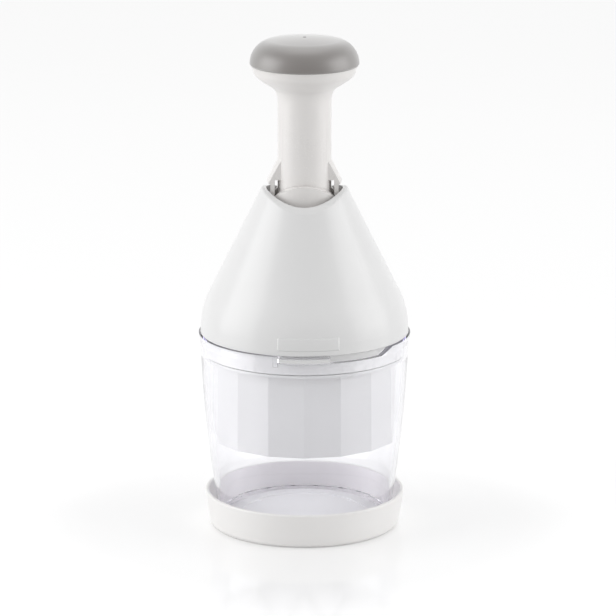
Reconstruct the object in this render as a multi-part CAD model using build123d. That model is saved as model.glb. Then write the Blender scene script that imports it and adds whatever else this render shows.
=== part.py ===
from build123d import *
import math
import os

# A hand-worked push-down food chopper: a white tray with a loose cutting disc, a clear chamber that
# stands in it, a conical white housing locked on the chamber by a two-lug bayonet, and a spring-loaded
# plunger. A twisted spindle runs through a fixed nut, so each stroke also turns the folded blade.
# Millimetres, +Z up, origin in the middle of the tray's underside, front of the product towards -Y.

os.makedirs("parts", exist_ok=True)

# ---- clearances and making sizes ----------------------------------------------------------------
SLIDE_GAP = 0.3            # between moulded pieces that slide, turn or rest on each other
SHAFT_GAP = 0.08           # radial running clearance of a shaft in its bore
SEAT_GAP = 0.05            # between pieces of one body that are pushed or glued together
JOIN = 0.5                 # how far a form reaches into the one it grows from
PAST = 1.0                 # how far a cut reaches past the face it opens

# ---- tray and cutting disc ----------------------------------------------------------------------
TRAY_HEIGHT = 17.4
TRAY_STANDOUT = 4.4        # the tray's rim stands out this far beyond the foot of the chamber's wall
TRAY_DRAFT = 2.8           # how much narrower the tray's foot is than its rim
TRAY_FOOT_ROUND = 2.4
TRAY_WALL = 2.0
TRAY_FLOOR = 2.4
TRAY_FOOT_RING = 5.0       # width of the ring that the tray stands on
TRAY_RECESS = 0.8          # depth of the hollow inside that ring
EDGE_ROUND = 0.4
DISC_INSET = 1.9           # play between the disc and the inside of the chamber's foot
DISC_THICK = 3.1
DISC_EDGE = 0.7
DISC_RING_INSET = 8.6      # shallow ring groove round the cutting face, in from the disc's edge
DISC_RING_WIDTH = 1.2
DISC_RING_DEPTH = 0.4

# ---- clear chamber ------------------------------------------------------------------------------
CHAMBER_RIM_Z = 97.4
CHAMBER_RIM_R = 52.0       # the radius that the tray, the housing and the guard follow
RIM_BAND = 4.4             # height of the thickened rim
RIM_STANDOUT = 0.6         # how far it stands out from the wall below it
RIM_FACE = 1.0             # height of its upright outer face
CHAMBER_LOW_RISE = 4.6     # the wall's curve starts this far above the tray
CHAMBER_LOW_INSET = 6.4    # the wall is this much narrower there than under the rim
CHAMBER_MID_SHARE = 0.568  # share of the curve's height at its middle point
CHAMBER_MID_INSET = 1.8    # the wall is this much narrower at that point
CHAMBER_FOOT_DRAFT = 0.124 # radius lost per millimetre of height below the curve
CHAMBER_WALL = 2.4
CHAMBER_BEAD = 2.6         # height of the bead that snaps into the tray
BEAD_BEVEL = 1.0
BEAD_SLOPE = 0.8           # height of the slope from the bead back to the wall

# ---- bayonet between chamber and housing --------------------------------------------------------
LUGS = 2
LUG_FROM = -14.0           # degrees from the front, towards +X
LUG_TO = 13.5
LUG_STANDOUT = 0.2         # how far the lug stands out from the chamber's wall
LUG_PLAY_DEG = 0.4
FINGER_THICK = 1.0         # finger of the chamber's rim that the lug turns under
NOTCH_DEPTH = 3.4          # from the chamber's rim to the notch floor
NOTCH_END = 46.5           # the notch floor ends here and ramps up to the rim
NOTCH_RAMP = 8.5           # degrees taken by the ramp
STOP_RIB_DEG = 2.6         # width of the rib beside the closed end of the notch
STOP_RIB_HEIGHT = 5.0
STOP_RIB_BELOW_RIM = 0.2
STOP_RIB_REACH = 0.3

# ---- housing ------------------------------------------------------------------------------------
HOUSING_EDGE_INSET = 0.8   # the housing's lower edge lies this far inside the chamber's rim
HOUSING_EDGE_ROUND = 0.3
HOUSING_SIDE_SLOPE = 0.066 # radius lost per millimetre of height in the lower band
HOUSING_HEIGHT = 72.2      # from the lower edge to the rim at its left and right
SHOULDER_RISE = 12.95      # height of the corner between band and cone, before it is rounded
SHOULDER_SHARE = 0.57      # the rounding takes up this share of the band
INNER_SHOULDER_SHARE = 0.85
HOUSING_WALL = 2.6         # measured level, along the radius
SADDLE_R = 42.0            # radius of the cylinder that scoops the rim down at front and back
RIM_EDGE = 2.24            # thickness of the rim at its left and right
RIM_ROUND = 0.9            # rounding of its outer edge
RIM_GAP = 1.7              # between the collar and the bore of the rim
RIM_BORE_DEPTH = 6.0
SKIRT_WALL = 1.4
SKIRT_LENGTH = 9.3         # skirt below the chamber's rim
LEDGE_RISE = 3.3           # underside of the ledge for the drive plate, above the lower edge
LEDGE_THICK = 3.0
LEDGE_WIDTH = 5.3

# ---- guide collar in the top of the cone --------------------------------------------------------
COLLAR_WALL = 3.6
COLLAR_TONGUE_RISE = 3.3   # front and back tongues, above the rim's left and right
COLLAR_ARCH_R = 19.5       # radius of the arched top of the tongues
COLLAR_ROOT_ROUND = 1.5    # between the flange and the tongues
COLLAR_FLANGE_DROP = 12.9  # underside of the flange, below the rim's left and right
COLLAR_FLANGE_THICK = 3.0
COLLAR_TAIL = 7.0          # length of the collar below its flange

# ---- plunger ------------------------------------------------------------------------------------
NECK_R = 13.1
NECK_WALL = 2.2
NECK_DIP = 1.6             # the flare's first part enters the collar by this much on a full stroke
FLARE_HEIGHT = 18.4
FLARE = [                  # shares of the way from neck to cap edge, and of the flare's height
    (0.031, 0.196), (0.138, 0.359), (0.431, 0.511), (0.715, 0.652), (0.908, 0.826), (0.985, 0.978),
]
CAP_R = 26.6
CAP_HEIGHT = 13.6
CAP_SKIRT = 0.8            # height of the cap's widest line above its lower edge
CAP_LAP = 0.5              # the flare ends this far inside the cap's widest line
CAP_CROWN_R = 100.0
CAP_WALL = 2.2
CAP_DIMPLE_R = 0.9
CAP_DIMPLE_DEPTH = 0.5
WING_WIDTH = 13.0
WING_INSET = 0.75          # how far the wings lie inside the line of the cone
WING_RISE = 13.7           # top of the wings above the rim's left and right
WING_CROWN = 0.8           # height of the bevelled edge above that
WING_BEVEL = 0.3
WING_PLAY = 0.35           # between the wing's lower corner and the bore of the rim
WING_FOOT = 1.4            # height of the slope from wing to leg
LEG_PLAY = 0.4             # the leg lies this far inside the collar's outer face
LEG_THICK = 2.1
LEG_RISE = 2.0             # end of the leg above the collar's lower end
LEG_SLOT = 1.0             # the slot between neck and leg reaches this far above the step
CEILING_DROP = 6.0         # the wall that the spring pushes on, below the top of the neck
CEILING_THICK = 3.0
HEAD_CAVITY_WALL = 1.9     # from the stem's bore to the cavity over the clip

# ---- drive --------------------------------------------------------------------------------------
TURN_PER_STROKE = 45.0     # degrees the blade turns on one stroke
PLATE_THICK = 3.0
PLATE_HUB_FLANGE = 5.2     # width of the plate's middle round the hub
SPOKES = 4
SPOKE_WIDTH = 8.0
HUB_HEIGHT = 34.0
HUB_PLAY = 1.1             # between the hub and the stem's bore
NUT_WALL = 2.4             # hub wall round the nut
NUT_LENGTH = 10.0
NUT_FLAT_DEPTH = 1.0       # depth of the nut's two flats
BUMPER_THICK = 1.5
SPINDLE_R = 4.8
SPINDLE_SQUARE = 6.4       # side of the twisted square part
SQUARE_ROUND = 0.9
SQUARE_OVERRUN = 3.0       # the square part runs on past the nut by this much at each end
SPINDLE_END_R = 3.5
SPINDLE_TIP = 2.7          # length above the clip
WASHER_SEAT = 0.4          # width of the shoulder under the thrust washer
WASHER_THICK = 1.0
WASHER_WIDTH = 2.7
CLIP_THICK = 1.0
CLIP_WIDTH = 2.5
CLIP_GROOVE = 0.7          # depth of the groove for the clip
CLIP_MOUTH_SHARE = 0.82    # the clip's mouth, as a share of the groove's diameter
SPRING_INSET = 2.2         # the coil's middle line lies this far inside the hub's outer face
SPRING_WIRE_R = 0.75
SPRING_COILS = 9
SCREWS = 4
SCREW_R = 1.4
SCREW_HEAD_R = 2.3
SCREW_HEAD_THICK = 1.6
SCREW_DEPTH = 2.4          # thread length in the housing
SOCKET_WIDTH = 0.6         # cross slot of the screws
SOCKET_DEPTH = 0.7

# ---- blade guard, wiper, blade ------------------------------------------------------------------
GUARD_SIDES = 16
GUARD_PLAY = 0.2           # between the guard's lower corners and the chamber's wall
GUARD_WALL = 1.6
GUARD_LIP = 1.6            # the wiper rests this far on the lip round the guard's opening
GUARD_LIP_THICK = 1.2
GUARD_FLANGE_THICK = 1.9
FLANGE_REBATE = 0.5        # step in the flange's upper edge
SPIGOT_HEIGHT = 3.4
SPIGOT_WALL = 1.0
WIPER_PLAY = 0.8           # between the wiper's edge and the guard's flats
WIPER_THICK = 2.2
RETAINER_THICK = 2.0
BLADE_LEGS = 6
BLADE_INSET = 4.2          # folds of the blade inside the guard's opening
BLADE_SPREAD = 0.917       # share of the folds' circle that the blade spans
BLADE_THICK = 0.8
BLADE_EDGE_ABOVE_GUARD = 0.8
BLADE_BEND_R = 1.6
BEVEL_HEIGHT = 3.0
EDGE_SHARE = 0.33          # thickness of the ground edge, as a share of the blade's
SLOT_GAP = 0.45            # between blade and wiper slot, each side
CARRIER_PLAY = 0.6         # between the carrier and the guard's opening
CARRIER_REST_GAP = 0.5     # between carrier and wiper on a full stroke
CARRIER_HEADROOM = 0.8     # between the spindle's flange and the drive plate at rest
CARRIER_THICK = 5.5
CARRIER_GROOVE = 3.0
CARRIER_ROOF = 1.0         # between the groove and the spindle's seat
CARRIER_FLANGE_WIDTH = 7.2
CARRIER_FLANGE_THICK = 1.7

# ---- tray, chamber and housing: what follows ----------------------------------------------------
chamber_neck_z = CHAMBER_RIM_Z - RIM_BAND
chamber_neck_r = CHAMBER_RIM_R - RIM_STANDOUT
chamber_low_z = TRAY_HEIGHT + CHAMBER_LOW_RISE
chamber_low_r = chamber_neck_r - CHAMBER_LOW_INSET
chamber_mid_z = chamber_low_z + CHAMBER_MID_SHARE * (chamber_neck_z - chamber_low_z)
chamber_mid_r = chamber_neck_r - CHAMBER_MID_INSET
chamber_foot_z = TRAY_FLOOR + SLIDE_GAP
bead_top_z = chamber_foot_z + CHAMBER_BEAD
chamber_foot_r = chamber_low_r - CHAMBER_FOOT_DRAFT * (chamber_low_z - bead_top_z)
tray_rim_r = chamber_low_r + TRAY_STANDOUT
tray_foot_r = tray_rim_r - TRAY_DRAFT
disc_r = chamber_foot_r - CHAMBER_WALL - DISC_INSET
disc_top_z = TRAY_FLOOR + DISC_THICK
disc_ring_r = disc_r - DISC_RING_INSET
skirt_bottom_z = CHAMBER_RIM_Z - SKIRT_LENGTH
skirt_r = chamber_neck_r - CHAMBER_WALL - SLIDE_GAP
skirt_inner_r = skirt_r - SKIRT_WALL
notch_z = CHAMBER_RIM_Z - NOTCH_DEPTH
finger_z = CHAMBER_RIM_Z - FINGER_THICK
housing_edge_z = CHAMBER_RIM_Z + SLIDE_GAP
housing_edge_r = CHAMBER_RIM_R - HOUSING_EDGE_INSET
rim_side_z = housing_edge_z + HOUSING_HEIGHT
collar_bore_r = NECK_R + SLIDE_GAP
collar_r = collar_bore_r + COLLAR_WALL
rim_bore_r = collar_r + RIM_GAP
corner_z = housing_edge_z + SHOULDER_RISE
corner_r = housing_edge_r - HOUSING_SIDE_SLOPE * SHOULDER_RISE
cone_slope = (corner_r - rim_bore_r - RIM_EDGE) / (rim_side_z - corner_z)
shoulder_turn = math.atan(cone_slope) - math.atan(HOUSING_SIDE_SLOPE)
collar_flange_z = rim_side_z - COLLAR_FLANGE_DROP
collar_bottom_z = collar_flange_z - COLLAR_TAIL
collar_tongue_z = rim_side_z + COLLAR_TONGUE_RISE
plate_seat_z = housing_edge_z + LEDGE_RISE
ledge_top_z = plate_seat_z + LEDGE_THICK
ledge_r = skirt_inner_r - LEDGE_WIDTH
plate_r = skirt_inner_r - SEAT_GAP
screw_circle_r = skirt_inner_r - LEDGE_WIDTH / 2

# ---- guard, wiper and blade: what follows -------------------------------------------------------
guard_flange_z = skirt_bottom_z - GUARD_FLANGE_THICK
guard_flange_r = skirt_r - SLIDE_GAP
plate_z = plate_seat_z - PLATE_THICK
wiper_rise = GUARD_LIP_THICK + SLIDE_GAP
carrier_rise = wiper_rise + WIPER_THICK + CARRIER_REST_GAP
edge_travel_z = disc_top_z + SLIDE_GAP - BLADE_EDGE_ABOVE_GUARD
spindle_flange_rise = carrier_rise + CARRIER_THICK + CARRIER_FLANGE_THICK
guard_bottom_z = (plate_z - CARRIER_HEADROOM - spindle_flange_rise + edge_travel_z) / 2
stroke = guard_bottom_z - edge_travel_z
guard_share = (guard_bottom_z - chamber_low_z) / (chamber_mid_z - chamber_low_z)
chamber_inner_r = chamber_low_r - CHAMBER_WALL + guard_share * (chamber_mid_r - chamber_low_r)
guard_apothem = (chamber_inner_r - GUARD_PLAY) * math.cos(math.pi / GUARD_SIDES)
guard_inner_r = guard_apothem - GUARD_WALL
wiper_r = guard_inner_r - WIPER_PLAY
guard_lip_r = wiper_r - GUARD_LIP
wiper_z = guard_bottom_z + wiper_rise
wiper_top_z = wiper_z + WIPER_THICK
retainer_z = wiper_top_z + SLIDE_GAP
blade_edge_z = guard_bottom_z + BLADE_EDGE_ABOVE_GUARD
blade_r = guard_lip_r - BLADE_INSET
blade_pitch = 2 * blade_r * BLADE_SPREAD / BLADE_LEGS
carrier_z = guard_bottom_z + carrier_rise + stroke
carrier_r = guard_lip_r - CARRIER_PLAY
spindle_seat_z = carrier_z + CARRIER_GROOVE + CARRIER_ROOF

# ---- plunger and drive: what follows ------------------------------------------------------------
stem_bore_r = NECK_R - NECK_WALL
stem_bottom_z = plate_seat_z + BUMPER_THICK + SLIDE_GAP + stroke
neck_top_z = collar_tongue_z + stroke - NECK_DIP
cap_low_z = neck_top_z + FLARE_HEIGHT
cap_widest_z = cap_low_z + CAP_SKIRT
cap_top_z = cap_low_z + CAP_HEIGHT
ceiling_z = neck_top_z - CEILING_DROP
clip_z = ceiling_z + CEILING_THICK + SLIDE_GAP
shoulder_z = ceiling_z - SLIDE_GAP - WASHER_THICK
spindle_top_z = clip_z + CLIP_THICK + SPINDLE_TIP
wing_top_z = rim_side_z + WING_RISE
wing_step_z = corner_z + (corner_r - WING_INSET - rim_bore_r + WING_PLAY) / cone_slope
leg_root_z = wing_step_z + LEG_SLOT
leg_outer_r = collar_r - LEG_PLAY
leg_inner_r = leg_outer_r - LEG_THICK
leg_bottom_z = collar_bottom_z + LEG_RISE
hub_r = stem_bore_r - HUB_PLAY
hub_top_z = plate_seat_z + HUB_HEIGHT
hub_bore_r = SPINDLE_R + SLIDE_GAP
nut_r = hub_r - NUT_WALL
nut_flat = nut_r - NUT_FLAT_DEPTH
nut_low_z = hub_top_z - NUT_LENGTH
spring_r = hub_r - SPRING_INSET
clip_groove_r = SPINDLE_END_R - CLIP_GROOVE
clip_r = SPINDLE_END_R + CLIP_WIDTH
washer_r = SPINDLE_END_R + WASHER_WIDTH
clip_mouth = 2 * clip_groove_r * CLIP_MOUTH_SHARE
head_cavity_r = stem_bore_r - HEAD_CAVITY_WALL
beyond = 4 * CHAMBER_RIM_R


def cone_r(z):
    """Outer radius of the straight cone at a height."""
    return corner_r - cone_slope * (z - corner_z)


def side_r(z):
    """Outer radius of the housing's lower band at a height."""
    return housing_edge_r - HOUSING_SIDE_SLOPE * (z - housing_edge_z)


def shoulder_round(low_z, share):
    """Radius of the rounding that takes up a share of the lower band above a height."""
    band_length = (corner_z - low_z) * math.hypot(1, HOUSING_SIDE_SLOPE)
    return share * band_length / math.tan(shoulder_turn / 2)


def tray_inner_r(z):
    rise = (z - TRAY_FLOOR) / (TRAY_HEIGHT - TRAY_FLOOR)
    return tray_foot_r - TRAY_WALL + rise * TRAY_DRAFT


def turned(points, radii=0):
    """Solid of revolution from (radius, height) corners, each rounded by its own radius."""
    outline = FilletPolyline(*[(r, 0, z) for r, z in points], radius=radii, close=True)
    return revolve(make_face(outline), axis=Axis.Z)


def tube(r_inner, r_outer, z_low, z_high):
    return turned([(r_inner, z_low), (r_outer, z_low), (r_outer, z_high), (r_inner, z_high)])


def sector(r_inner, r_outer, z_low, z_high, start, end):
    """Piece of a ring between two directions, in degrees from the front towards +X."""
    corners = [(r_inner, 0, z_low), (r_outer, 0, z_low), (r_outer, 0, z_high), (r_inner, 0, z_high)]
    band = make_face(Polyline(*corners, close=True))
    return Rot(0, 0, start - 90) * revolve(band, axis=Axis.Z, revolution_arc=end - start)


def around(shape, count):
    """The shape and its copies, evenly turned about the axis."""
    return [Rot(0, 0, i * 360 / count) * shape for i in range(count)]


def screw_places(shape):
    """The shape at each screw of the drive plate."""
    turn = 180 / SCREWS
    return [Rot(0, 0, turn) * copy for copy in around(Pos(screw_circle_r, 0, 0) * shape, SCREWS)]


def polygon_prism(apothem, z_low, z_high):
    """Prism of the guard's many-sided outline, with a corner at the front."""
    corner_r = apothem / math.cos(math.pi / GUARD_SIDES)
    sketch = Rot(0, 0, -90) * RegularPolygon(corner_r, GUARD_SIDES)
    return Pos(0, 0, z_low) * extrude(sketch, z_high - z_low)


# ---- tray and disc ------------------------------------------------------------------------------
def base_tray():
    foot_inner_r = tray_foot_r - TRAY_FOOT_ROUND - TRAY_FOOT_RING
    corners = [
        (0, TRAY_RECESS),
        (foot_inner_r, TRAY_RECESS),
        (foot_inner_r, 0),
        (tray_foot_r, 0),
        (tray_rim_r, TRAY_HEIGHT),
        (tray_rim_r - TRAY_WALL, TRAY_HEIGHT),
        (tray_foot_r - TRAY_WALL, TRAY_FLOOR),
        (0, TRAY_FLOOR),
    ]
    rim_round = EDGE_ROUND * TRAY_WALL
    return turned(corners, [0, EDGE_ROUND, 0, TRAY_FOOT_ROUND, rim_round, rim_round, 0, 0])


def cutting_disc():
    disc = turned(
        [(0, TRAY_FLOOR), (disc_r, TRAY_FLOOR), (disc_r, disc_top_z), (0, disc_top_z)],
        [0, 0, DISC_EDGE, 0],
    )
    groove_z = disc_top_z - DISC_RING_DEPTH
    return disc - tube(disc_ring_r, disc_ring_r + DISC_RING_WIDTH, groove_z, disc_top_z + PAST)


# ---- chamber ------------------------------------------------------------------------------------
def clear_chamber():
    bead_r = tray_inner_r(chamber_foot_z) - SLIDE_GAP
    bore_r = chamber_neck_r - CHAMBER_WALL
    outer = ThreePointArc(
        (chamber_low_r, 0, chamber_low_z),
        (chamber_mid_r, 0, chamber_mid_z),
        (chamber_neck_r, 0, chamber_neck_z),
    )
    inner = ThreePointArc(
        (chamber_low_r - CHAMBER_WALL, 0, chamber_low_z),
        (chamber_mid_r - CHAMBER_WALL, 0, chamber_mid_z),
        (bore_r, 0, guard_flange_z),
    )
    outside = Polyline(
        outer @ 1,
        (CHAMBER_RIM_R, 0, CHAMBER_RIM_Z - RIM_FACE),
        (CHAMBER_RIM_R, 0, CHAMBER_RIM_Z),
        (bore_r, 0, CHAMBER_RIM_Z),
        inner @ 1,
    )
    foot = Polyline(
        inner @ 0,
        (chamber_foot_r - CHAMBER_WALL, 0, chamber_foot_z),
        (bead_r - BEAD_BEVEL, 0, chamber_foot_z),
        (bead_r, 0, chamber_foot_z + BEAD_BEVEL),
        (bead_r, 0, bead_top_z),
        (chamber_foot_r, 0, bead_top_z + BEAD_SLOPE),
        outer @ 0,
    )
    body = revolve(make_face([outer, outside, inner, foot]), axis=Axis.Z)

    above = CHAMBER_RIM_Z + PAST
    inside = bore_r - PAST
    beyond_rim = CHAMBER_RIM_R + PAST
    closed_end = LUG_FROM - LUG_PLAY_DEG
    finger_end = LUG_TO + LUG_PLAY_DEG
    slot = sector(inside, beyond_rim, notch_z, finger_z, closed_end, NOTCH_END)
    notch = sector(inside, beyond_rim, notch_z, above, finger_end, NOTCH_END)
    ramp_length = math.radians(NOTCH_RAMP) * CHAMBER_RIM_R * (above - notch_z) / (CHAMBER_RIM_Z - notch_z)
    ramp_side = make_face(Polyline(
        (-JOIN, 0, notch_z), (0, 0, notch_z), (ramp_length, 0, above), (-JOIN, 0, above), close=True,
    ))
    ramp_cut = extrude(ramp_side, beyond_rim - inside, dir=(0, -1, 0))
    ramp = Rot(0, 0, NOTCH_END) * Pos(0, -inside, 0) * ramp_cut
    rib_top_z = CHAMBER_RIM_Z - STOP_RIB_BELOW_RIM
    rib = sector(
        chamber_neck_r - JOIN, CHAMBER_RIM_R + STOP_RIB_REACH,
        rib_top_z - STOP_RIB_HEIGHT, rib_top_z, closed_end - STOP_RIB_DEG, closed_end,
    )
    for cutter in (slot, notch, ramp):
        for copy in around(cutter, LUGS):
            body -= copy
    for copy in around(rib, LUGS):
        body += copy
    return body


# ---- housing ------------------------------------------------------------------------------------
def cone_shell():
    above_z = rim_side_z + RIM_BORE_DEPTH
    corners = [
        (skirt_r, skirt_bottom_z),
        (skirt_r, housing_edge_z),
        (housing_edge_r, housing_edge_z),
        (corner_r, corner_z),
        (cone_r(above_z), above_z),
        (cone_r(above_z) - HOUSING_WALL, above_z),
        (corner_r - HOUSING_WALL, corner_z),
        (side_r(ledge_top_z) - HOUSING_WALL, ledge_top_z),
        (ledge_r, ledge_top_z),
        (ledge_r, plate_seat_z),
        (skirt_inner_r, plate_seat_z),
        (skirt_inner_r, skirt_bottom_z),
    ]
    outer_round = shoulder_round(housing_edge_z, SHOULDER_SHARE)
    inner_round = shoulder_round(ledge_top_z, INNER_SHOULDER_SHARE)
    radii = [0, 0, HOUSING_EDGE_ROUND, outer_round, 0, 0, inner_round, 0, 0, 0, 0, 0]
    shell = turned(corners, radii)
    shell -= Pos(0, 0, rim_side_z) * Cylinder(rim_bore_r, 2 * RIM_BORE_DEPTH)
    scoop = Pos(0, 0, rim_side_z - SADDLE_R) * Rot(0, 90, 0) * Cylinder(SADDLE_R, beyond)
    saddle_low_z = rim_side_z - SADDLE_R / 2
    shell -= tube(0, beyond, saddle_low_z, saddle_low_z + beyond) - scoop

    def on_rim(edge):
        middle = edge.position_at(0.5)
        return middle.Z > saddle_low_z and abs(math.hypot(middle.X, middle.Y) - cone_r(middle.Z)) < SEAT_GAP

    shell = fillet([edge for edge in shell.edges() if on_rim(edge)], RIM_ROUND)
    lug = sector(
        skirt_r - JOIN, chamber_neck_r + LUG_STANDOUT,
        notch_z + SLIDE_GAP, finger_z - SLIDE_GAP, LUG_FROM, LUG_TO,
    )
    for bump in around(lug, LUGS):
        shell += bump
    for hole in screw_places(Cylinder(SCREW_R + SEAT_GAP, 2 * (SCREW_DEPTH + SEAT_GAP))):
        shell -= Pos(0, 0, plate_seat_z) * hole
    return shell


def guide_collar():
    flange_top_z = collar_flange_z + COLLAR_FLANGE_THICK
    inside = HOUSING_WALL + SEAT_GAP
    top_z = collar_tongue_z + PAST
    corners = [
        (collar_bore_r, collar_bottom_z),
        (collar_r, collar_bottom_z),
        (collar_r, collar_flange_z),
        (cone_r(collar_flange_z) - inside, collar_flange_z),
        (cone_r(flange_top_z) - inside, flange_top_z),
        (collar_r, flange_top_z),
        (collar_r, top_z),
        (collar_bore_r, top_z),
    ]
    collar = turned(corners, [0, 0, 0, 0, 0, COLLAR_ROOT_ROUND, 0, 0])
    crown = Pos(0, 0, collar_tongue_z - COLLAR_ARCH_R) * Rot(90, 0, 0) * Cylinder(COLLAR_ARCH_R, beyond)
    collar -= tube(0, beyond, flange_top_z, beyond) - crown
    slot_width = WING_WIDTH + 2 * SLIDE_GAP
    return collar - Pos(0, 0, collar_bottom_z) * Box(2 * rim_bore_r, slot_width, beyond)


# ---- plunger ------------------------------------------------------------------------------------
cap_round = (CAP_CROWN_R**2 - CAP_R**2 - (cap_widest_z - cap_top_z + CAP_CROWN_R) ** 2) / (
    2 * (CAP_CROWN_R - CAP_R)
)


def dome(inset):
    """Two tangent arcs from the cap's widest line up to its crown, drawn inside it by the inset."""
    crown_z = cap_top_z - CAP_CROWN_R
    centre_r = CAP_R - cap_round
    turn = math.atan2(cap_widest_z - crown_z, centre_r)
    rim = cap_round - inset
    crown = CAP_CROWN_R - inset

    def on_rim(angle):
        return (centre_r + rim * math.cos(angle), 0, cap_widest_z + rim * math.sin(angle))

    def on_crown(angle):
        return (crown * math.cos(angle), 0, crown_z + crown * math.sin(angle))

    edge = ThreePointArc(on_rim(0), on_rim(turn / 2), on_rim(turn))
    top = ThreePointArc(on_crown(turn), on_crown((turn + math.pi / 2) / 2), on_crown(math.pi / 2))
    return edge, top


def knob_cap():
    edge, top = dome(0)
    inner_edge, inner_top = dome(CAP_WALL)
    rim = Polyline(
        inner_edge @ 0, (CAP_R - CAP_WALL, 0, cap_low_z), (CAP_R - CAP_LAP, 0, cap_low_z), edge @ 0
    )
    axis_line = Line(top @ 1, inner_top @ 1)
    cap = revolve(make_face([rim, edge, top, axis_line, inner_top, inner_edge]), axis=Axis.Z)
    return cap - Pos(0, 0, cap_top_z) * Cylinder(CAP_DIMPLE_R, 2 * CAP_DIMPLE_DEPTH)


def wing_pair():
    def line_r(z):
        return cone_r(z) - WING_INSET

    root_r = stem_bore_r - PAST
    crown_z = wing_top_z + WING_CROWN
    outline = [
        (root_r, leg_root_z),
        (root_r, crown_z),
        (line_r(wing_top_z) - WING_BEVEL, crown_z),
        (line_r(wing_top_z), wing_top_z),
        (line_r(wing_step_z), wing_step_z),
        (leg_outer_r, wing_step_z - WING_FOOT),
        (leg_outer_r, leg_bottom_z),
        (leg_inner_r, leg_bottom_z),
        (leg_inner_r, leg_root_z),
    ]
    face = make_face(Polyline(*[(x, 0, z) for x, z in outline], close=True))
    wing = extrude(face, WING_WIDTH / 2, both=True)
    low_z = leg_bottom_z - PAST
    line = turned([(0, low_z), (line_r(low_z), low_z), (line_r(crown_z), crown_z), (0, crown_z)])
    return around(wing & line, 2)


def plunger_stem():
    head = CAP_WALL + SEAT_GAP
    head_edge, head_top = dome(head)
    flange_r = CAP_R - CAP_LAP
    neck = Polyline((0, 0, stem_bottom_z), (NECK_R, 0, stem_bottom_z), (NECK_R, 0, neck_top_z))
    flare = Spline(
        (NECK_R, 0, neck_top_z),
        *[(NECK_R + out * (flange_r - NECK_R), 0, neck_top_z + up * FLARE_HEIGHT) for out, up in FLARE],
        (flange_r, 0, cap_low_z),
        tangents=[(0, 0, 1), (0, 0, 1)],
    )
    shelf = Polyline((flange_r, 0, cap_low_z), (CAP_R - head, 0, cap_low_z), head_edge @ 0)
    axis_line = Line(head_top @ 1, (0, 0, stem_bottom_z))
    stem = revolve(make_face([neck, flare, shelf, head_edge, head_top, axis_line]), axis=Axis.Z)
    for wing in wing_pair():
        stem += wing
    ceiling_top_z = ceiling_z + CEILING_THICK
    stem -= tube(0, stem_bore_r, stem_bottom_z - PAST, ceiling_z)
    stem -= tube(0, SPINDLE_END_R + SHAFT_GAP, ceiling_z - PAST, ceiling_top_z + PAST)
    return stem - tube(0, head_cavity_r, ceiling_top_z, cap_top_z)


# ---- drive --------------------------------------------------------------------------------------
def twisted_square(side, corner_round, z_low, z_high):
    """Square bar whose faces turn with height at the lead of the drive."""
    section = RectangleRounded(side, side, corner_round)
    length = z_high - z_low
    turn = -TURN_PER_STROKE / stroke
    bar = Solid.extrude_linear_with_rotation(
        section.faces()[0], center=(0, 0, 0), normal=(0, 0, length), angle=turn * length,
    )
    return Pos(0, 0, z_low) * Rot(0, 0, turn * (z_low - hub_top_z)) * bar


def between_flats(width):
    """Upright slab at the nut, as wide as its flats are apart."""
    return Pos(0, 0, hub_top_z) * Box(beyond, width, beyond)


def drive_plate():
    plate = tube(ledge_r, plate_r, plate_z, plate_seat_z)
    plate += tube(hub_bore_r, hub_r + PLATE_HUB_FLANGE, plate_z, plate_seat_z)
    spoke_from = hub_r - PAST
    spoke_length = (ledge_r + plate_r) / 2 - spoke_from
    spoke_middle = Pos(spoke_from + spoke_length / 2, 0, plate_seat_z - PLATE_THICK / 2)
    for arm in around(spoke_middle * Box(spoke_length, SPOKE_WIDTH, PLATE_THICK), SPOKES):
        plate += arm
    plate += tube(hub_bore_r, hub_r, plate_z, hub_top_z)
    seat = tube(0, nut_r + SEAT_GAP, nut_low_z, hub_top_z + PAST)
    plate -= seat & between_flats(2 * (nut_flat + SEAT_GAP))
    plate -= tube(0, hub_bore_r, plate_z - PAST, hub_top_z + PAST)
    for hole in screw_places(Cylinder(SCREW_R + SEAT_GAP, 4 * PLATE_THICK)):
        plate -= Pos(0, 0, plate_z) * hole
    return plate


def drive_nut():
    nut = tube(0, nut_r, nut_low_z, hub_top_z) & between_flats(2 * nut_flat)
    side = SPINDLE_SQUARE + 2 * SLIDE_GAP
    return nut - twisted_square(side, SQUARE_ROUND + SLIDE_GAP, nut_low_z - PAST, hub_top_z + PAST)


def plate_screws():
    head_low = plate_z - SCREW_HEAD_THICK
    head = tube(0, SCREW_HEAD_R, head_low, plate_z)
    shank = tube(0, SCREW_R, plate_z - JOIN, plate_seat_z + SCREW_DEPTH)
    socket = Pos(0, 0, head_low) * Box(SCREW_HEAD_R, SOCKET_WIDTH, 2 * SOCKET_DEPTH)
    cross = Rot(0, 0, 90) * socket
    return screw_places(head + shank - socket - cross)


def stop_bumper():
    return tube(hub_r + SEAT_GAP, NECK_R, plate_seat_z, plate_seat_z + BUMPER_THICK)


def return_spring():
    low = hub_top_z + SPRING_WIRE_R + SEAT_GAP
    high = ceiling_z - SPRING_WIRE_R - SLIDE_GAP
    path = Helix(pitch=(high - low) / SPRING_COILS, height=high - low, radius=spring_r)
    wire = Plane(origin=path @ 0, z_dir=path % 0) * Circle(SPRING_WIRE_R)
    return Pos(0, 0, low) * sweep(wire, path=path, is_frenet=True)


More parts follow.
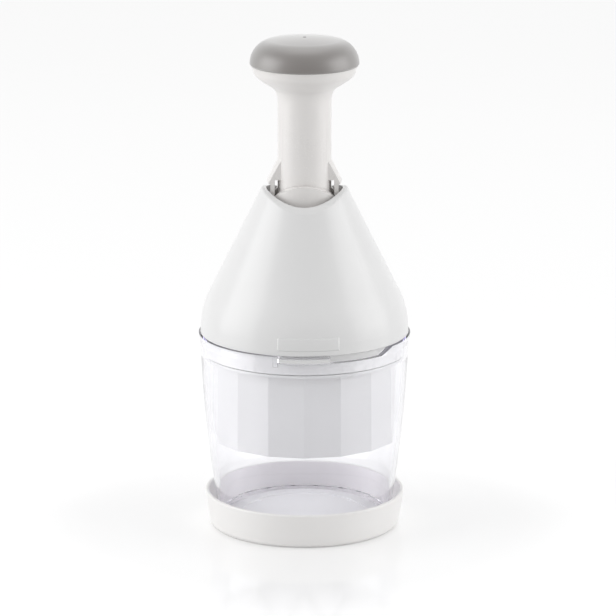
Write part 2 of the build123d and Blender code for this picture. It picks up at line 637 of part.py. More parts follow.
def drive_spindle():
    flange_z = carrier_z + CARRIER_THICK
    square_low = nut_low_z - SQUARE_OVERRUN
    square_high = hub_top_z + stroke + SQUARE_OVERRUN
    spindle = tube(0, SPINDLE_R, spindle_seat_z, square_low)
    spindle += tube(0, SPINDLE_R + CARRIER_FLANGE_WIDTH, flange_z, flange_z + CARRIER_FLANGE_THICK)
    spindle += twisted_square(SPINDLE_SQUARE, SQUARE_ROUND, square_low - JOIN, square_high + JOIN)
    spindle += tube(0, SPINDLE_END_R + WASHER_SEAT, square_high, shoulder_z)
    spindle += tube(0, SPINDLE_END_R, shoulder_z - JOIN, spindle_top_z)
    return spindle - tube(clip_groove_r, SPINDLE_END_R + PAST, clip_z, clip_z + CLIP_THICK + SEAT_GAP)


def thrust_washer():
    return tube(SPINDLE_END_R + SHAFT_GAP, washer_r, shoulder_z, shoulder_z + WASHER_THICK)


def retaining_clip():
    clip = tube(clip_groove_r + SEAT_GAP, clip_r, clip_z, clip_z + CLIP_THICK)
    return clip - Pos(0, -clip_r / 2, clip_z) * Box(clip_mouth, clip_r, 4 * CLIP_THICK)


# ---- blade, carrier, wiper, guard ---------------------------------------------------------------
def blade_folds():
    """Plan points of the blade's folds, from left to right on a circle."""
    first = -blade_pitch * BLADE_LEGS / 2
    folds = []
    for i in range(BLADE_LEGS + 1):
        x = first + i * blade_pitch
        side = 1 if i % 2 else -1
        folds.append((x, side * math.sqrt(blade_r**2 - x**2)))
    return folds


def folded_strip(thickness, z_low, z_high, lengthen=0):
    """Upright strip that follows the folds, with round bends."""
    folds = [Vector(x, y, 0) for x, y in blade_folds()]
    folds[0] += (folds[0] - folds[1]).normalized() * lengthen
    folds[-1] += (folds[-1] - folds[-2]).normalized() * lengthen
    line = FilletPolyline(*folds, radius=BLADE_BEND_R)
    band = make_face(offset(line, thickness / 2, side=Side.BOTH))
    return Pos(0, 0, z_low) * extrude(band, z_high - z_low)


def zigzag_blade():
    bevel_z = blade_edge_z + BEVEL_HEIGHT
    blade = folded_strip(BLADE_THICK, bevel_z, carrier_z + CARRIER_GROOVE)
    return blade + folded_strip(EDGE_SHARE * BLADE_THICK, blade_edge_z, bevel_z)


def blade_carrier():
    top_z = carrier_z + CARRIER_THICK
    carrier = tube(0, carrier_r, carrier_z, top_z)
    carrier -= tube(0, SPINDLE_R + SEAT_GAP, spindle_seat_z, top_z + PAST)
    groove_top_z = carrier_z + CARRIER_GROOVE + SEAT_GAP
    return carrier - folded_strip(
        BLADE_THICK + 2 * SEAT_GAP, carrier_z - PAST, groove_top_z, lengthen=SEAT_GAP
    )


def wiper_plate():
    plate = tube(0, wiper_r, wiper_z, wiper_top_z)
    return plate - folded_strip(
        BLADE_THICK + 2 * SLOT_GAP, wiper_z - PAST, wiper_top_z + PAST, lengthen=SLOT_GAP
    )


def wiper_retainer():
    retainer_top_z = retainer_z + RETAINER_THICK
    ring = polygon_prism(guard_inner_r - SEAT_GAP, retainer_z, retainer_top_z)
    return ring - tube(0, guard_lip_r, retainer_z - PAST, retainer_top_z + PAST)


def blade_guard():
    lip_top_z = guard_bottom_z + GUARD_LIP_THICK
    spigot_top_z = skirt_bottom_z + SPIGOT_HEIGHT
    bell = polygon_prism(guard_apothem, guard_bottom_z, skirt_bottom_z)
    bell += tube(0, guard_flange_r, guard_flange_z, skirt_bottom_z - FLANGE_REBATE)
    bell += tube(0, plate_r, guard_flange_z, spigot_top_z)
    bell -= polygon_prism(guard_inner_r, lip_top_z, guard_flange_z)
    bell -= tube(0, guard_inner_r, guard_flange_z - JOIN, skirt_bottom_z)
    bell -= tube(0, plate_r - SPIGOT_WALL, skirt_bottom_z, spigot_top_z + PAST)
    return bell - tube(0, guard_lip_r, guard_bottom_z - PAST, lip_top_z + PAST)


# ---- write one file for each piece --------------------------------------------------------------
pieces = {
    "base_tray": base_tray(),
    "cutting_disc": cutting_disc(),
    "clear_chamber": clear_chamber(),
    "cone_shell": cone_shell(),
    "guide_collar": guide_collar(),
    "drive_plate": drive_plate(),
    "drive_nut": drive_nut(),
    "stop_bumper": stop_bumper(),
    "return_spring": return_spring(),
    "blade_guard": blade_guard(),
    "wiper_retainer": wiper_retainer(),
    "plunger_stem": plunger_stem(),
    "knob_cap": knob_cap(),
    "thrust_washer": thrust_washer(),
    "retaining_clip": retaining_clip(),
    "drive_spindle": drive_spindle(),
    "blade_carrier": blade_carrier(),
    "zigzag_blade": zigzag_blade(),
    "wiper_plate": wiper_plate(),
}
for number, screw in enumerate(plate_screws(), start=1):
    pieces[f"plate_screw_{number}"] = screw
for name, piece in pieces.items():
    piece.label = name
    export_step(piece, f"parts/{name}.step")
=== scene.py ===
import math

import bmesh
import bpy
from bpy.props import FloatProperty, FloatVectorProperty, PointerProperty
from bpy.types import Operator, Panel, PropertyGroup
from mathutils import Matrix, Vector
from mathutils.bvhtree import BVHTree


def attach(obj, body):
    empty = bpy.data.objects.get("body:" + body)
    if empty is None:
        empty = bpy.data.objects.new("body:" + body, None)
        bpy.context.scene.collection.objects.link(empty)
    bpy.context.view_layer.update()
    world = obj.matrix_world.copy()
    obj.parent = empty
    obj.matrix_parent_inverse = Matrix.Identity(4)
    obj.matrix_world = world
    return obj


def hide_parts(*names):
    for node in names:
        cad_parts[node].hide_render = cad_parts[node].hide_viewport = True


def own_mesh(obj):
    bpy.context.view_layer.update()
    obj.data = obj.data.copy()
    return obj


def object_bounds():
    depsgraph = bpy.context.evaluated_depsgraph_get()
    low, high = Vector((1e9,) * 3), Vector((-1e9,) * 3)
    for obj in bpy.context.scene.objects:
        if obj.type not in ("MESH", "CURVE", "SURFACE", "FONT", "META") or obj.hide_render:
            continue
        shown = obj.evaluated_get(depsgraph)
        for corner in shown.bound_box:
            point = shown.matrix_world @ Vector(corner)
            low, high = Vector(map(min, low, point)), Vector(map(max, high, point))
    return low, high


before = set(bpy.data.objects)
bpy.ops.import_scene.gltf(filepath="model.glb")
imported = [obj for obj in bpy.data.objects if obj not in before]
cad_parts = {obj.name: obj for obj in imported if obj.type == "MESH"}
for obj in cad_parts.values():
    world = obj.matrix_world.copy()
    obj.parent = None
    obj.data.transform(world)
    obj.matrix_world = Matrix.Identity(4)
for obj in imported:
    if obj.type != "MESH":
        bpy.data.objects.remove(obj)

bl_info = {
    "name": "Push-down food chopper",
    "version": (1, 0, 0),
    "blender": (4, 5, 0),
    "location": "3D View > Sidebar > Chopper",
    "description": "Finishes, trim and studio for a hand-worked food chopper",
    "category": "Object",
}

CAD_BOX = [list(corner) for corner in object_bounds()]

# Mix node sockets that have to be named by their number, because each kind of value has its own
COLOUR_A, COLOUR_B, COLOUR_RESULT = 6, 7, 2

# Moulded surfaces: depth of the grain in metres, what is added to the roughness, and the clear coat
OUTER_GRAIN_DEPTH = 0.000003
INNER_GRAIN_DEPTH = 0.000004
INNER_ROUGHER = 0.08
SCUFF_ROUGHER = 0.12
RUB_ROUGHER = -0.08
SATIN_COAT = {"Coat_Weight": 0.12, "Coat_Roughness": 0.15}

# Hairlines: for each of two ways, its turn in radians and how many times longer than wide the lines are
HAIRLINE_WAYS = ((0.35, 18.0), (-0.8, 26.0))
HAIRLINE_TILT = (1.0, 0.6, 1.7)  # share of the turn about each axis

# Noise and pointiness at which a hairline and an edge are fully marked
HAIRLINE_FULL = 0.86
EDGE_FULL = 0.60

# Soft-touch skin of the knob cap
SOFT_TOUCH = {
    "Sheen_Weight": 1.0,
    "Sheen_Roughness": 0.5,
    "Coat_Weight": 1.0,
    "Coat_Roughness": 0.41,
    "Coat_IOR": 2.0,
}

# Clear plastic: its gloss, the tint of light that goes straight through, and the tint of its depth
CLEAR_IOR = 1.46
CLEAR_ROUGHNESS = 0.03
CLEAR_POLISHED, CLEAR_SCRATCHED = 0.02, 0.08
CLEAR_SHADOW = (0.965, 0.96, 0.97, 1.0)
CLEAR_MOST_TURNS = 5.5
CLEAR_DEPTH_COLOUR = (0.80, 0.785, 0.90, 1.0)
CLEAR_DEPTH_DENSITY = 26.0

# Front panel: counts of faces, the reach of its round corners and the thickness of its sheet, in metres
PANEL_COLUMNS, PANEL_ROWS = 40, 8
PANEL_CORNER, PANEL_CORNER_STEPS = 0.0010, 4
PANEL_WALL = 0.0005

# Points of a CAD mesh that are nearer than this are one, in metres
SAME_POINT = 1e-6

# Floor: half of its width in metres, its colour, and its gloss, which changes in patches
FLOOR_HALF = 6.0
FLOOR_COLOUR = (0.75, 0.75, 0.75)
FLOOR_IOR = 1.9
FLOOR_SMOOTHEST, FLOOR_ROUGHEST = 0.06, 0.12
FLOOR_PATCHES_PER_METRE = 40.0
POLISHED_MIRROR = 0.5

# Distances from the axis, in metres, between which the polish fades into a matt ring and comes back
POLISHED_TO, MATT_FROM = 0.10, 0.17
MATT_TO, POLISHED_FROM = 0.22, 0.42

# Glow that keeps the floor pale, and what is added to it in the matt ring
FLOOR_LIFT = 0.235
MATT_LIFT = 0.13

# Surround: how white it looks, and how strongly it lights the object
SEEN_WHITE = 1.0
SURROUND_LIGHT = 0.55

# Softboxes: places, aims up the axis and sizes in metres, and powers in watts
SIDE_OUT, SIDE_FORWARD, SIDE_HEIGHT = 1.48, 0.22, 0.45
SIDE_AIM = 0.12
SIDE_SIZE = (1.3, 1.6)
LEFT_POWER, RIGHT_POWER = 15.0, 12.5
TOP_BACK, TOP_HEIGHT = 0.3, 1.5
TOP_AIM = 0.15
TOP_SIZE = (1.0, 1.0)
TOP_POWER = 3.0

# Camera, in pixels of its picture, and the width of its sensor in millimetres
IMAGE_WIDTH = 616
FOCAL_PIXELS = 3949.0
AXIS_LEFT_OF_MIDDLE = 3.5
SENSOR_WIDTH = 36.0


class ChopperFinishes(PropertyGroup):
    """Colours and gloss of the chopper's materials."""

    housing: FloatVectorProperty(
        name="Housing", description="White of the conical housing and its panel",
        default=(0.82, 0.82, 0.82), subtype="COLOR", min=0.0, max=1.0,
    )
    plunger: FloatVectorProperty(
        name="Plunger", description="Slightly warmer white of the plunger and collar",
        default=(0.85, 0.83, 0.815), subtype="COLOR", min=0.0, max=1.0,
    )
    # The tray's warmth is its own; its white is raised above the housing's as painted light for the floor
    # inside the chamber
    tray: FloatVectorProperty(
        name="Tray", description="Warm white of the base tray",
        default=(0.955, 0.942, 0.93), subtype="COLOR", min=0.0, max=1.0,
    )
    inner: FloatVectorProperty(
        name="Inner white", description="White of the wiper, its ring, the blade carrier and the drive plate",
        default=(0.85, 0.85, 0.855), subtype="COLOR", min=0.0, max=1.0,
    )
    # The guard's white is darker than the other inner white: painted shade for the dim inside of the chamber
    guard: FloatVectorProperty(
        name="Blade guard", description="White of the guard seen through the chamber",
        default=(0.785, 0.785, 0.785), subtype="COLOR", min=0.0, max=1.0,
    )
    # The disc's white is raised above the other whites as painted light inside the chamber
    disc: FloatVectorProperty(
        name="Cutting disc", description="Cool white of the cutting disc",
        default=(0.97, 0.97, 0.98), subtype="COLOR", min=0.0, max=1.0,
    )
    clear: FloatVectorProperty(
        name="Clear plastic", description="Almost colourless tint at the chamber's surfaces",
        default=(0.968, 0.969, 0.974), subtype="COLOR", min=0.0, max=1.0,
    )
    cap: FloatVectorProperty(
        name="Knob cap", description="Warm grey of the soft-touch cap, under its sheen and coat",
        default=(0.098, 0.082, 0.072), subtype="COLOR", min=0.0, max=1.0,
    )
    acetal: FloatVectorProperty(
        name="Acetal", description="Natural grey of the spindle and nut",
        default=(0.62, 0.62, 0.60), subtype="COLOR", min=0.0, max=1.0,
    )
    rubber: FloatVectorProperty(
        name="Rubber", description="Black of the stop bumper",
        default=(0.05, 0.05, 0.05), subtype="COLOR", min=0.0, max=1.0,
    )
    steel: FloatVectorProperty(
        name="Steel", description="Grey of the blade, spring, clip, washer and screws",
        default=(0.62, 0.62, 0.64), subtype="COLOR", min=0.0, max=1.0,
    )
    satin: FloatProperty(
        name="Satin roughness", description="Roughness of the white mouldings",
        default=0.30, subtype="FACTOR", min=0.0, max=1.0,
    )


class ChopperSizes(PropertyGroup):
    """Sizes of the trim and the place of the camera."""

    panel_width: FloatProperty(
        name="Panel width", description="Width of the bare panel low on the front",
        default=0.0312, unit="LENGTH", min=0.005,
    )
    panel_height: FloatProperty(
        name="Panel height", description="Height of the bare panel low on the front",
        default=0.0064, unit="LENGTH", min=0.003,
    )
    panel_across: FloatProperty(
        name="Panel across", description="How far the panel's middle lies to the right of the front",
        default=0.002, unit="LENGTH",
    )
    panel_middle: FloatProperty(
        name="Panel middle", description="Height of the panel's middle",
        default=0.1033, unit="LENGTH",
    )
    panel_rise: FloatProperty(
        name="Panel rise", description="How far the panel stands out of the housing",
        default=0.00006, unit="LENGTH", min=0.0,
    )
    camera_distance: FloatProperty(
        name="Camera distance", description="From the point on the axis that the camera looks at",
        default=1.941, unit="LENGTH", min=0.5,
    )
    camera_aim: FloatProperty(
        name="Camera aim", description="Height of that point",
        default=0.109, unit="LENGTH",
    )
    camera_elevation: FloatProperty(
        name="Camera elevation", description="Angle of the view above level",
        default=math.radians(14.14), unit="ROTATION",
    )


# ---- shader building -----------------------------------------------------------------------------
def feed(tree, socket, value):
    """Gives an input a plain value, or links it where the value is another node's output."""
    if isinstance(value, bpy.types.NodeSocket):
        tree.links.new(value, socket)
    else:
        socket.default_value = value


def node(tree, kind, **values):
    """A shader node with its settings and inputs given by name."""
    made = tree.nodes.new(kind)
    for key, value in values.items():
        if hasattr(made, key):
            setattr(made, key, value)
        else:
            feed(tree, made.inputs[key.replace("_", " ")], value)
    return made


def calculated(tree, operation, *values, **settings):
    """The output of a Math node, with its inputs given in order."""
    made = node(tree, "ShaderNodeMath", operation=operation, **settings)
    for socket, value in zip(made.inputs, values):
        feed(tree, socket, value)
    return made.outputs["Value"]


def mapped(tree, **values):
    """The output of a Map Range node, with its inputs given by name."""
    return node(tree, "ShaderNodeMapRange", **values).outputs["Result"]


def open_group(name, inputs, outputs):
    """An empty shader node group with named sockets."""
    tree = bpy.data.node_groups.new(name, "ShaderNodeTree")
    for socket, kind, default in inputs:
        item = tree.interface.new_socket(socket, in_out="INPUT", socket_type=kind)
        if default is not None:
            item.default_value = default
    for socket in outputs:
        tree.interface.new_socket(socket, in_out="OUTPUT", socket_type="NodeSocketFloat")
    return tree, tree.nodes.new("NodeGroupInput").outputs, tree.nodes.new("NodeGroupOutput").inputs


def build_moulded_grain():
    """Fine spark-eroded grain over a slow swell, as on satin mouldings."""
    tree, given, out = open_group(
        "Moulded grain",
        [
            ("Vector", "NodeSocketVector", None),
            ("Grain per metre", "NodeSocketFloat", 2500.0),
            ("Swell per metre", "NodeSocketFloat", 60.0),
            ("Swell share", "NodeSocketFloat", 0.3),
        ],
        ["Height", "Tone"],
    )
    grain = node(
        tree, "ShaderNodeTexNoise", Vector=given["Vector"], Scale=given["Grain per metre"],
        Detail=3.0, Roughness=0.6,
    )
    swell = node(
        tree, "ShaderNodeTexNoise", Vector=given["Vector"], Scale=given["Swell per metre"],
        Detail=2.0, Roughness=0.5,
    )
    mix = node(
        tree, "ShaderNodeMix", data_type="FLOAT",
        Factor=given["Swell share"], A=grain.outputs["Fac"], B=swell.outputs["Fac"],
    )
    feed(tree, out["Height"], mix.outputs["Result"])
    feed(tree, out["Tone"], swell.outputs["Fac"])


def build_hairlines():
    """Sparse fine scratches that run two ways, as washing up leaves them."""
    tree, given, out = open_group(
        "Hairlines",
        [
            ("Vector", "NodeSocketVector", None),
            ("Lines per metre", "NodeSocketFloat", 900.0),
            ("Rarity", "NodeSocketFloat", 0.72),
        ],
        ["Mask"],
    )
    masks = []
    for turn, stretch in HAIRLINE_WAYS:
        place = node(
            tree, "ShaderNodeMapping", Vector=given["Vector"],
            Rotation=[turn * share for share in HAIRLINE_TILT], Scale=(1.0, 1.0 / stretch, 1.0),
        )
        lines = node(
            tree, "ShaderNodeTexNoise", Vector=place.outputs["Vector"], Scale=given["Lines per metre"],
            Detail=1.0, Roughness=0.4,
        )
        masks.append(
            mapped(tree, Value=lines.outputs["Fac"], From_Min=given["Rarity"], From_Max=HAIRLINE_FULL)
        )
    feed(tree, out["Mask"], calculated(tree, "MAXIMUM", *masks))


def build_edge_rub():
    """Mask of outward edges and corners, where handling has polished the surface."""
    tree, given, out = open_group("Edge rub", [("Sharpness", "NodeSocketFloat", 0.53)], ["Mask"])
    pointiness = node(tree, "ShaderNodeNewGeometry").outputs["Pointiness"]
    feed(tree, out["Mask"], mapped(tree, Value=pointiness, From_Min=given["Sharpness"], From_Max=EDGE_FULL))


def placed_group(tree, name, **values):
    """The outputs of a node group placed in a material, with its own values."""
    return node(tree, "ShaderNodeGroup", node_tree=bpy.data.node_groups[name], **values).outputs


def plain_material(name, base, **values):
    """A material whose uniform values are set on the shader's own sockets."""
    made = bpy.data.materials.new(name)
    made.use_nodes = True
    shader = made.node_tree.nodes["Principled BSDF"]
    shader.inputs["Base Color"].default_value = (*base, 1.0)
    for key, value in values.items():
        shader.inputs[key.replace("_", " ")].default_value = value
    return made


def moulded_material(name, base, roughness, depth, grain=2500.0, spread=0.05, tint=0.02, **values):
    """Moulded or ground surface: fine grain, slow change of tone, hairlines and rubbed edges."""
    made = plain_material(name, base, **values)
    tree = made.node_tree
    shader = tree.nodes["Principled BSDF"].inputs
    place = node(tree, "ShaderNodeTexCoord").outputs["Object"]
    surface = placed_group(tree, "Moulded grain", Vector=place, Grain_per_metre=grain)
    scuffs = placed_group(tree, "Hairlines", Vector=place)["Mask"]
    rub = placed_group(tree, "Edge rub")["Mask"]
    tone = node(tree, "ShaderNodeMix", data_type="RGBA", Factor=surface["Tone"])
    tone.inputs[COLOUR_A].default_value = (*[c * (1 - tint) for c in base], 1.0)
    tone.inputs[COLOUR_B].default_value = (*[min(1.0, c * (1 + tint)) for c in base], 1.0)
    feed(tree, shader["Base Color"], tone.outputs[COLOUR_RESULT])
    grained = mapped(tree, Value=surface["Height"], To_Min=roughness - spread, To_Max=roughness + spread)
    scuffed = calculated(tree, "MULTIPLY_ADD", scuffs, SCUFF_ROUGHER, grained)
    feed(tree, shader["Roughness"], calculated(tree, "MULTIPLY_ADD", rub, RUB_ROUGHER, scuffed))
    bump = node(tree, "ShaderNodeBump", Strength=1.0, Distance=depth, Height=surface["Height"])
    feed(tree, shader["Normal"], bump.outputs["Normal"])
    return made


def dress(finish, *names):
    """Gives CAD nodes a finish."""
    for name in names:
        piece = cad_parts[name]
        if not piece.material_slots:
            piece.data.materials.append(finish)
        for slot in piece.material_slots:
            slot.material = finish


def new_piece(form, name, body, finish):
    """Turns a bmesh into a smooth piece that rides on a body."""
    mesh = bpy.data.meshes.new(name)
    form.to_mesh(mesh)
    form.free()
    for face in mesh.polygons:
        face.use_smooth = True
    piece = bpy.data.objects.new(name, mesh)
    bpy.context.scene.collection.objects.link(piece)
    piece.data.materials.append(finish)
    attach(piece, body)
    return piece


# ---- finishes ------------------------------------------------------------------------------------
class CHOPPER_OT_effects(Operator):
    """Build the shared surface effects: moulded grain, hairlines and rubbed edges"""

    bl_idname = "chopper.effects"
    bl_label = "Surface effects"

    def execute(self, context):
        build_moulded_grain()
        build_hairlines()
        build_edge_rub()
        return {"FINISHED"}


class CHOPPER_OT_mouldings(Operator):
    """Satin white plastic on the housing, plunger, collar, tray, guard and inner mouldings; the tray's white
    holds painted light and the guard's painted shade
    """

    bl_idname = "chopper.mouldings"
    bl_label = "White mouldings"

    def execute(self, context):
        finishes = context.scene.chopper_finishes
        outer = finishes.satin, OUTER_GRAIN_DEPTH
        inner = finishes.satin + INNER_ROUGHER, INNER_GRAIN_DEPTH
        for name, colour, (roughness, depth), pieces in (
            ("Housing plastic", finishes.housing, outer, ["cone_shell"]),
            ("Plunger plastic", finishes.plunger, outer, ["guide_collar", "plunger_stem"]),
            # The tray's raised white is painted light for the inside of the chamber
            ("Tray plastic with painted light", finishes.tray, outer, ["base_tray"]),
            (
                "Inner plastic", finishes.inner, inner,
                ["wiper_plate", "wiper_retainer", "blade_carrier", "drive_plate"],
            ),
            # The guard's darker white is painted shade for the inside of the chamber
            ("Guard plastic with painted shade", finishes.guard, inner, ["blade_guard"]),
        ):
            dress(moulded_material(name, colour, roughness, depth, **SATIN_COAT), *pieces)
        return {"FINISHED"}


class CHOPPER_OT_cutting_disc(Operator):
    """Slightly coarser plastic on the cutting disc, its white raised as painted light"""

    bl_idname = "chopper.cutting_disc"
    bl_label = "Cutting disc"

    def execute(self, context):
        finishes = context.scene.chopper_finishes
        board = moulded_material(
            "Disc plastic with painted light", finishes.disc, roughness=0.40, depth=0.000006, grain=1500.0, spread=0.08
        )
        dress(board, "cutting_disc")
        return {"FINISHED"}


class CHOPPER_OT_drive_pieces(Operator):
    """Acetal spindle and nut, and the rubber stop bumper"""

    bl_idname = "chopper.drive_pieces"
    bl_label = "Drive pieces"

    def execute(self, context):
        finishes = context.scene.chopper_finishes
        acetal = moulded_material("Acetal", finishes.acetal, roughness=0.32, depth=0.000004)
        dress(acetal, "drive_spindle", "drive_nut")
        rubber = moulded_material(
            "Bumper rubber", finishes.rubber, roughness=0.70, depth=0.00001, grain=900.0
        )
        dress(rubber, "stop_bumper")
        return {"FINISHED"}


class CHOPPER_OT_knob_cap(Operator):
    """Grey soft-touch skin on the knob"""

    bl_idname = "chopper.knob_cap"
    bl_label = "Knob cap"

    def execute(self, context):
        finishes = context.scene.chopper_finishes
        skin = moulded_material(
            "Soft-touch grey", finishes.cap, roughness=0.50, depth=0.000005, grain=4000.0, tint=0.05,
            **SOFT_TOUCH,
        )
        dress(skin, "knob_cap")
        return {"FINISHED"}


class CHOPPER_OT_clear_chamber(Operator):
    """Polished clear plastic on the chamber, faintly lilac where light goes a long way through it"""

    bl_idname = "chopper.clear_chamber"
    bl_label = "Clear chamber"

    def execute(self, context):
        finishes = context.scene.chopper_finishes
        clear = plain_material(
            "Clear plastic", finishes.clear, Transmission_Weight=1.0, IOR=CLEAR_IOR,
            Roughness=CLEAR_ROUGHNESS,
        )
        tree = clear.node_tree
        shader = tree.nodes["Principled BSDF"]
        leave = tree.nodes["Material Output"].inputs
        place = node(tree, "ShaderNodeTexCoord").outputs["Object"]
        scuffs = placed_group(tree, "Hairlines", Vector=place)["Mask"]
        rough = mapped(tree, Value=scuffs, To_Min=CLEAR_POLISHED, To_Max=CLEAR_SCRATCHED)
        feed(tree, shader.inputs["Roughness"], rough)
        # Shadow rays, and light that has turned too often inside the walls, go straight through
        light = node(tree, "ShaderNodeLightPath").outputs
        trapped = calculated(tree, "GREATER_THAN", light["Ray Depth"], CLEAR_MOST_TURNS)
        passing = calculated(tree, "MAXIMUM", trapped, light["Is Shadow Ray"])
        through = node(tree, "ShaderNodeBsdfTransparent", Color=CLEAR_SHADOW)
        blend = node(tree, "ShaderNodeMixShader", Fac=passing)
        feed(tree, blend.inputs[1], shader.outputs["BSDF"])
        feed(tree, blend.inputs[2], through.outputs["BSDF"])
        feed(tree, leave["Surface"], blend.outputs["Shader"])
        depth = node(
            tree, "ShaderNodeVolumeAbsorption", Color=CLEAR_DEPTH_COLOUR, Density=CLEAR_DEPTH_DENSITY,
        )
        feed(tree, leave["Volume"], depth.outputs["Volume"])
        dress(clear, "clear_chamber")
        return {"FINISHED"}


class CHOPPER_OT_metal(Operator):
    """Ground and plated steel on the blade, clip, washer and screws"""

    bl_idname = "chopper.metal"
    bl_label = "Steel pieces"

    def execute(self, context):
        finishes = context.scene.chopper_finishes
        ground = moulded_material(
            "Ground stainless", finishes.steel, roughness=0.24, depth=0.000003, grain=5000.0, spread=0.06,
            Metallic=1.0,
        )
        dress(ground, "zigzag_blade")
        plated = moulded_material(
            "Plated steel", finishes.steel, roughness=0.34, depth=0.000004, grain=3000.0, Metallic=1.0
        )
        dress(plated, "thrust_washer", "retaining_clip")
        dress(plated, *[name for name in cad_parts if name.startswith("plate_screw")])
        return {"FINISHED"}


# ---- pieces --------------------------------------------------------------------------------------
class CHOPPER_OT_return_spring(Operator):
    """Coil spring, remade from its CAD node as one smooth piece on the housing"""

    bl_idname = "chopper.return_spring"
    bl_label = "Return spring"

    def execute(self, context):
        form = bmesh.new()
        form.from_mesh(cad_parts["return_spring"].data)
        bmesh.ops.remove_doubles(form, verts=form.verts, dist=SAME_POINT)
        bmesh.ops.recalc_face_normals(form, faces=form.faces)
        piece = new_piece(form, "coil_spring", "housing", bpy.data.materials["Plated steel"])
        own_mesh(piece)
        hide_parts("return_spring")
        return {"FINISHED"}


def panel_sheet(sizes):
    """Flat sheet with round corners."""
    form = bmesh.new()
    bmesh.ops.create_grid(form, x_segments=PANEL_COLUMNS, y_segments=PANEL_ROWS, size=0.5)
    bmesh.ops.scale(form, vec=(sizes.panel_width, sizes.panel_height, 1.0), verts=form.verts)
    corners = [vert for vert in form.verts if len(vert.link_edges) == 2]
    bmesh.ops.bevel(
        form, geom=corners, affect="VERTICES", offset=PANEL_CORNER, segments=PANEL_CORNER_STEPS, profile=0.5,
        material=-1,
    )
    return form


def wrap_on_cone(form, sizes):
    """Lays a flat sheet round the front of the cone, a little proud of its surface."""
    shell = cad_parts["cone_shell"].data
    surface = BVHTree.FromPolygons(
        [vert.co for vert in shell.vertices], [tuple(face.vertices) for face in shell.polygons]
    )
    for vert in form.verts:
        angle = (vert.co.x + sizes.panel_across) / CAD_BOX[1][0]
        facing = Vector((math.sin(angle), -math.cos(angle), 0.0))
        level = Vector((0.0, 0.0, sizes.panel_middle + vert.co.y))
        point = surface.ray_cast(level + facing, -facing)[0]
        if point is None:
            raise RuntimeError("the panel misses the housing")
        vert.co = point + facing * sizes.panel_rise


class CHOPPER_OT_front_panel(Operator):
    """Bare raised panel low on the front of the housing"""

    bl_idname = "chopper.front_panel"
    bl_label = "Front panel"

    def execute(self, context):
        sizes = context.scene.chopper_sizes
        form = panel_sheet(sizes)
        wrap_on_cone(form, sizes)
        bmesh.ops.recalc_face_normals(form, faces=form.faces)
        if form.faces[:][0].normal.y > 0:
            bmesh.ops.reverse_faces(form, faces=form.faces)
        bmesh.ops.solidify(form, geom=list(form.faces), thickness=PANEL_WALL)
        new_piece(form, "front_panel", "housing", bpy.data.materials["Housing plastic"])
        return {"FINISHED"}


# ---- studio --------------------------------------------------------------------------------------
def softbox(name, place, aim, size, power):
    """Rectangular soft light aimed at a height on the axis."""
    light = bpy.data.lights.new(name, "AREA")
    light.shape = "RECTANGLE"
    light.size, light.size_y = size
    light.energy = power
    holder = bpy.data.objects.new(name, light)
    holder.location = place
    holder.rotation_euler = (Vector((0.0, 0.0, aim)) - Vector(place)).to_track_quat("-Z", "Y").to_euler()
    bpy.context.scene.collection.objects.link(holder)


def seen_or_lit(tree, seen_strength, lit_strength):
    """One strength for camera, mirror and glass rays, and another for the rays that light things."""
    light = node(tree, "ShaderNodeLightPath").outputs
    seen = calculated(tree, "ADD", light["Is Camera Ray"], light["Is Glossy Ray"], use_clamp=True)
    seen_or_clear = calculated(tree, "ADD", seen, light["Is Transmission Ray"], use_clamp=True)
    return mapped(tree, Value=seen_or_clear, To_Min=lit_strength, To_Max=seen_strength)


def floor_material():
    """Pale polished floor with a matt ring round the object, where reflections fade out."""
    made = plain_material("Studio floor", FLOOR_COLOUR, IOR=FLOOR_IOR)
    tree = made.node_tree
    shader = tree.nodes["Principled BSDF"]
    place = node(tree, "ShaderNodeTexCoord").outputs["Object"]
    patches = node(tree, "ShaderNodeTexNoise", Vector=place, Scale=FLOOR_PATCHES_PER_METRE, Detail=2.0)
    rough = mapped(tree, Value=patches.outputs["Fac"], To_Min=FLOOR_SMOOTHEST, To_Max=FLOOR_ROUGHEST)
    feed(tree, shader.inputs["Roughness"], rough)
    away = node(tree, "ShaderNodeVectorMath", operation="LENGTH", Vector=place).outputs["Value"]
    inner = mapped(
        tree, interpolation_type="SMOOTHSTEP", Value=away, From_Min=POLISHED_TO, From_Max=MATT_FROM,
    )
    outer = mapped(
        tree, interpolation_type="SMOOTHSTEP", Value=away, From_Min=MATT_TO, From_Max=POLISHED_FROM,
        To_Min=1.0, To_Max=0.0,
    )
    matt = calculated(tree, "MULTIPLY", inner, outer)
    mirror = mapped(tree, Value=matt, To_Min=POLISHED_MIRROR, To_Max=0.0)
    feed(tree, shader.inputs["Specular IOR Level"], mirror)
    lift = calculated(tree, "MULTIPLY_ADD", matt, MATT_LIFT, FLOOR_LIFT)
    strength = calculated(tree, "MULTIPLY", lift, seen_or_lit(tree, SEEN_WHITE, 0.0))
    glow = node(tree, "ShaderNodeEmission", Strength=strength)
    both = node(tree, "ShaderNodeAddShader")
    feed(tree, both.inputs[0], shader.outputs["BSDF"])
    feed(tree, both.inputs[1], glow.outputs["Emission"])
    feed(tree, tree.nodes["Material Output"].inputs["Surface"], both.outputs["Shader"])
    return made


def lay_floor():
    """The floor that the object stands on."""
    form = bmesh.new()
    bmesh.ops.create_grid(form, x_segments=1, y_segments=1, size=FLOOR_HALF)
    mesh = bpy.data.meshes.new("floor")
    form.to_mesh(mesh)
    form.free()
    mesh.materials.append(floor_material())
    floor = bpy.data.objects.new("floor", mesh)
    bpy.context.scene.collection.objects.link(floor)


def white_surround():
    """World that looks white and lights the object less."""
    world = bpy.data.worlds.new("White surround")
    world.use_nodes = True
    surround = world.node_tree.nodes["Background"].inputs
    surround["Color"].default_value = (1.0, 1.0, 1.0, 1.0)
    feed(world.node_tree, surround["Strength"], seen_or_lit(world.node_tree, SEEN_WHITE, SURROUND_LIGHT))
    bpy.context.scene.world = world


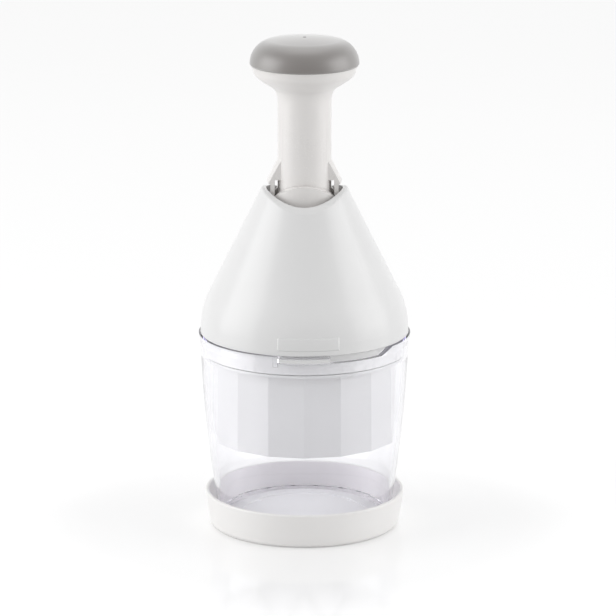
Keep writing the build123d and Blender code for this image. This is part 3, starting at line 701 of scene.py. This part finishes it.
def place_camera(sizes):
    """Camera in front of the object, a little above level."""
    eye = bpy.data.cameras.new("camera")
    eye.sensor_width = SENSOR_WIDTH
    eye.lens = FOCAL_PIXELS / IMAGE_WIDTH * eye.sensor_width
    eye.shift_x = AXIS_LEFT_OF_MIDDLE / IMAGE_WIDTH
    holder = bpy.data.objects.new("camera", eye)
    rise = sizes.camera_distance * math.sin(sizes.camera_elevation)
    back = sizes.camera_distance * math.cos(sizes.camera_elevation)
    holder.location = (0.0, -back, sizes.camera_aim + rise)
    holder.rotation_euler = (math.pi / 2 - sizes.camera_elevation, 0.0, 0.0)
    bpy.context.scene.collection.objects.link(holder)
    bpy.context.scene.camera = holder


class CHOPPER_OT_studio(Operator):
    """Pale glossy floor, soft lights, white surround and the camera"""

    bl_idname = "chopper.studio"
    bl_label = "Studio"

    def execute(self, context):
        lay_floor()
        white_surround()
        left, right = ((side * SIDE_OUT, -SIDE_FORWARD, SIDE_HEIGHT) for side in (-1, 1))
        softbox("left softbox", left, SIDE_AIM, SIDE_SIZE, LEFT_POWER)
        softbox("right softbox", right, SIDE_AIM, SIDE_SIZE, RIGHT_POWER)
        softbox("top softbox", (0.0, TOP_BACK, TOP_HEIGHT), TOP_AIM, TOP_SIZE, TOP_POWER)
        place_camera(context.scene.chopper_sizes)
        context.scene.view_settings.view_transform = "Standard"
        return {"FINISHED"}


OPERATORS = (
    CHOPPER_OT_effects,
    CHOPPER_OT_mouldings,
    CHOPPER_OT_cutting_disc,
    CHOPPER_OT_drive_pieces,
    CHOPPER_OT_knob_cap,
    CHOPPER_OT_clear_chamber,
    CHOPPER_OT_metal,
    CHOPPER_OT_return_spring,
    CHOPPER_OT_front_panel,
    CHOPPER_OT_studio,
)


class CHOPPER_PT_panel(Panel):
    """The chopper's settings and its pieces in making order"""

    bl_idname = "CHOPPER_PT_panel"
    bl_label = "Food chopper"
    bl_space_type = "VIEW_3D"
    bl_region_type = "UI"
    bl_category = "Chopper"

    def draw(self, context):
        for settings in (context.scene.chopper_sizes, context.scene.chopper_finishes):
            for key in settings.bl_rna.properties.keys():
                if key not in ("rna_type", "name"):
                    self.layout.prop(settings, key)
        for operator in OPERATORS:
            self.layout.operator(operator.bl_idname)


CLASSES = (ChopperFinishes, ChopperSizes, *OPERATORS, CHOPPER_PT_panel)


def register():
    for item in CLASSES:
        bpy.utils.register_class(item)
    bpy.types.Scene.chopper_finishes = PointerProperty(type=ChopperFinishes)
    bpy.types.Scene.chopper_sizes = PointerProperty(type=ChopperSizes)


def unregister():
    del bpy.types.Scene.chopper_sizes
    del bpy.types.Scene.chopper_finishes
    for item in reversed(CLASSES):
        bpy.utils.unregister_class(item)


def main():
    register()
    bpy.ops.chopper.effects()
    bpy.ops.chopper.mouldings()
    bpy.ops.chopper.cutting_disc()
    bpy.ops.chopper.drive_pieces()
    bpy.ops.chopper.knob_cap()
    bpy.ops.chopper.clear_chamber()
    bpy.ops.chopper.metal()
    bpy.ops.chopper.return_spring()
    bpy.ops.chopper.front_panel()
    bpy.ops.chopper.studio()


if __name__ == "__main__":
    main()
